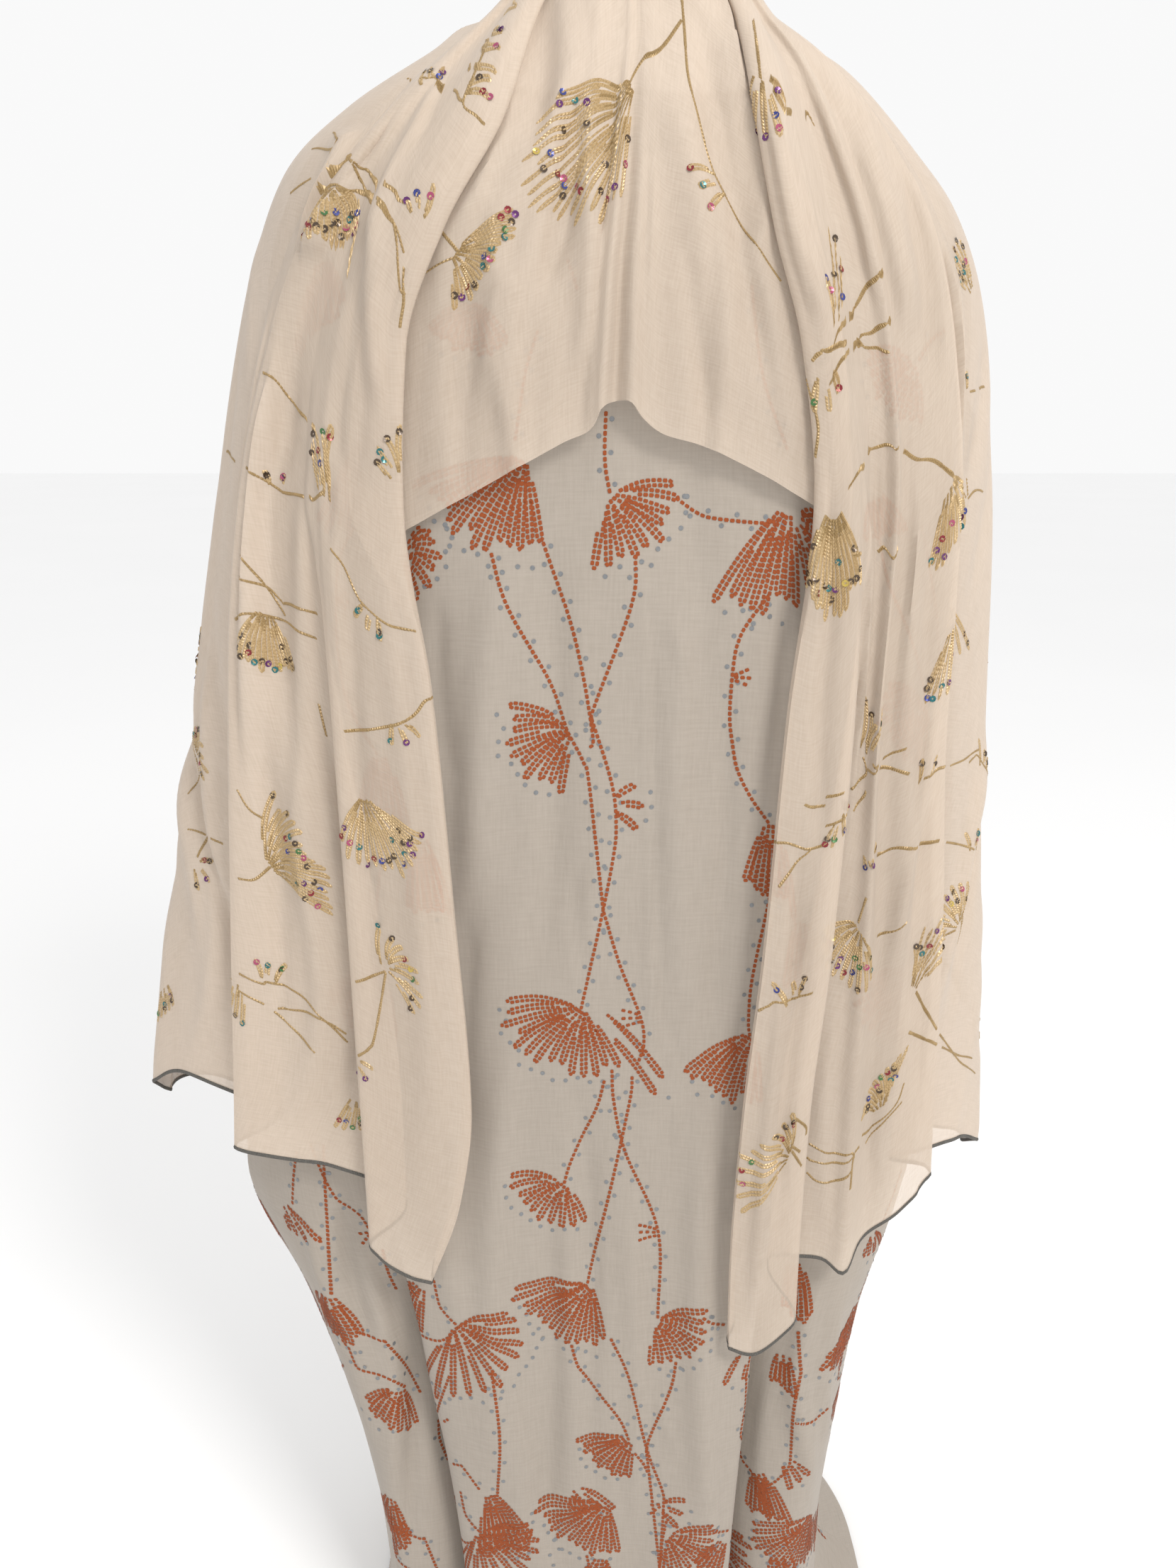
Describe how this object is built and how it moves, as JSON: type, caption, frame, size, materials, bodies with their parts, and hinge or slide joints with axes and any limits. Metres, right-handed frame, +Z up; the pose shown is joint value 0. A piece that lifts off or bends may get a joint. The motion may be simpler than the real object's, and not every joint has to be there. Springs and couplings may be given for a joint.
{
  "type": "baati dress with matching shawl",
  "caption": "Long loose baati dress, worn and hollow, under its matching wide shawl laid over neck and shoulders, with an arched chest edge and folded side falls.",
  "frame": {"origin": "middle of the neck base, where the wearer's shoulders carry both garments", "axes": "+Z up, -Y is the front, +X is to the viewer's right as seen from the front"},
  "size_m": [0.7879, 0.3585, 1.5634],
  "materials": {
    "dress_cloth": "matt cotton voile with a stitched-look flower print",
    "binding_cloth": "matt cotton binding",
    "shawl_cloth": "soft crepe, a little see-through, with gold thread and sequins"
  },
  "bodies": {
    "root": {"dress_front": "dress_cloth", "dress_back": "dress_cloth", "neck_binding": "binding_cloth", "cuff_left": "binding_cloth", "cuff_right": "binding_cloth", "shawl_neck": "shawl_cloth", "shawl_chest": "shawl_cloth", "shawl_left": "shawl_cloth", "shawl_right": "shawl_cloth", "shawl_back": "shawl_cloth"}
  },
  "joints": []
}
